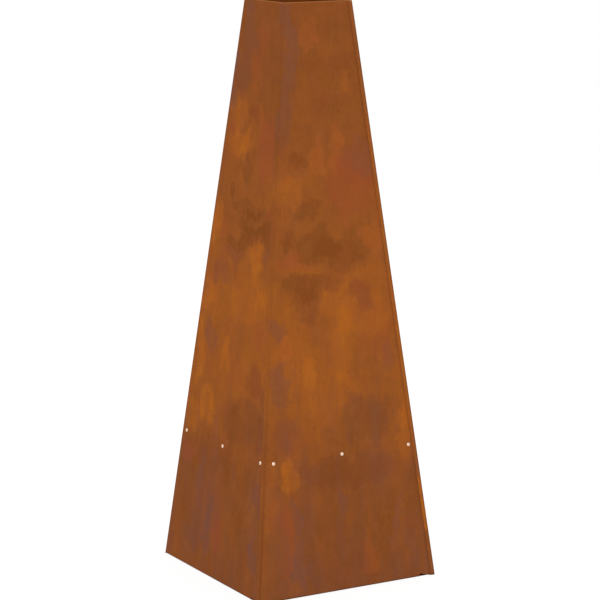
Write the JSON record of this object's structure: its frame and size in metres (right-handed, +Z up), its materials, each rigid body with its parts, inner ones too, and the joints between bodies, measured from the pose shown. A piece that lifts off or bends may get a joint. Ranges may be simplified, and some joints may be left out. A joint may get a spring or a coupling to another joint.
{
  "type": "fire pit",
  "caption": "Tall square pyramid garden fireplace of folded weathering-steel sheet, with a fire mouth at the front, an open top as its flue, a log grate and a pull-out ash pan.",
  "frame": {"origin": "on the ground at the centre of the square base", "axes": "+Z up; the fire mouth faces -Y; +X is the right-hand side for someone who faces the mouth"},
  "size_m": [0.4262, 0.4262, 1.2],
  "materials": {
    "weathering_steel": "matt rust of weathering steel, orange to purple-brown in vertical streaks",
    "weld_metal": "rusted stitch weld",
    "sooted_steel": "rusted sheet darkened by heat and soot",
    "grate_steel": "hot-rolled square and flat bar, lightly rusted",
    "zinc_plated_steel": "bright zinc plating"
  },
  "bodies": {
    "body": {"front_wall": "weathering_steel", "right_wall": "weathering_steel", "back_wall": "weathering_steel", "left_wall": "weathering_steel", "front_left_corner_welds": "weld_metal", "front_right_corner_welds": "weld_metal", "back_right_corner_welds": "weld_metal", "back_left_corner_welds": "weld_metal", "fire_floor": "sooted_steel", "front_screws": "zinc_plated_steel", "right_screws": "zinc_plated_steel", "back_screws": "zinc_plated_steel", "left_screws": "zinc_plated_steel", "front_washers": "zinc_plated_steel", "right_washers": "zinc_plated_steel", "back_washers": "zinc_plated_steel", "left_washers": "zinc_plated_steel", "front_nuts": "zinc_plated_steel", "right_nuts": "zinc_plated_steel", "back_nuts": "zinc_plated_steel", "left_nuts": "zinc_plated_steel"},
    "log_grate": {"grate_bars": "grate_steel", "grate_front_rail": "grate_steel", "grate_rear_rail": "grate_steel"},
    "ash_pan": {"ash_pan": "sooted_steel", "pan_pull": "grate_steel"}
  },
  "joints": [
    {"name": "log_grate_draw", "type": "slide", "parent": "body", "child": "log_grate", "axis": [0, -1, 0], "range_m": [0, 0.4]},
    {"name": "ash_pan_draw", "type": "slide", "parent": "body", "child": "ash_pan", "axis": [0, -1, 0], "range_m": [0, 0.4]}
  ]
}
